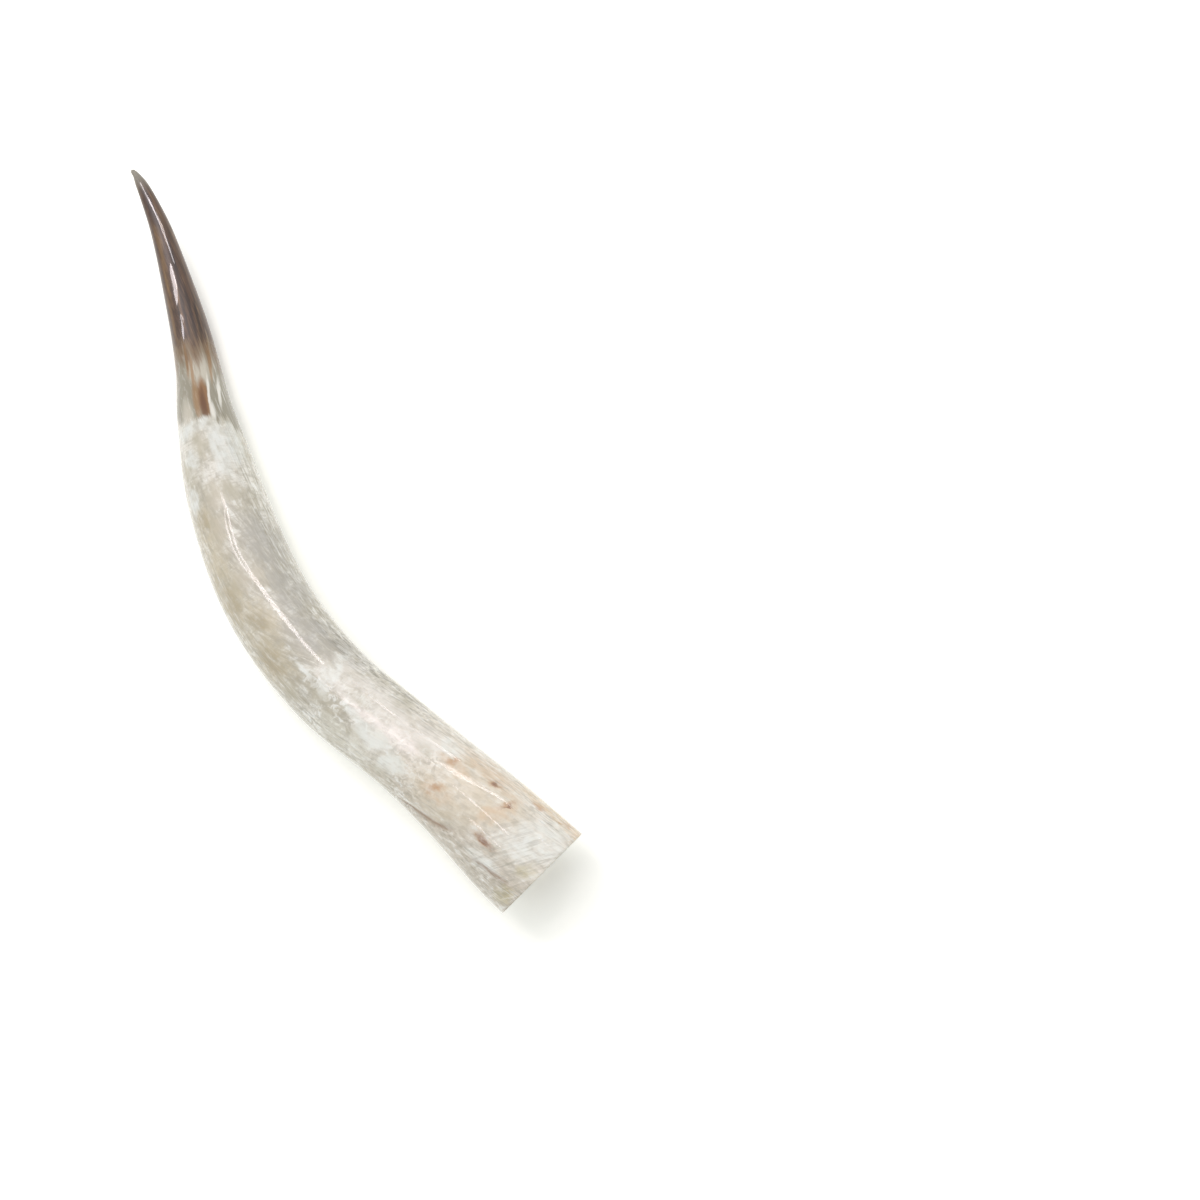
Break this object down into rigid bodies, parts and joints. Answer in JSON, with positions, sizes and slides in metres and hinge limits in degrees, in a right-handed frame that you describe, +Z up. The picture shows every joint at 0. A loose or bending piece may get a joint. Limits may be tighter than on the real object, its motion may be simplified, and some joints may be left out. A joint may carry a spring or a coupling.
{
  "type": "polished cow horn",
  "caption": "Long polished cow horn lying on its side in a gentle S curve, hollow and cut off flat at its pale base, solid towards a slim dark pointed tip.",
  "frame": {"origin": "on the floor, under the middle of the horn's bounding box as it lies", "axes": "+X from the cut base to the tip along the chord, +Z up, and the horn's bend swings out to +Y"},
  "size_m": [0.8832, 0.1968, 0.0901],
  "materials": {
    "horn": "polished horn: glossy, cloudy white and grey with tan patches, dark brown towards the tip"
  },
  "bodies": {
    "root": {"horn": "horn"}
  },
  "joints": []
}
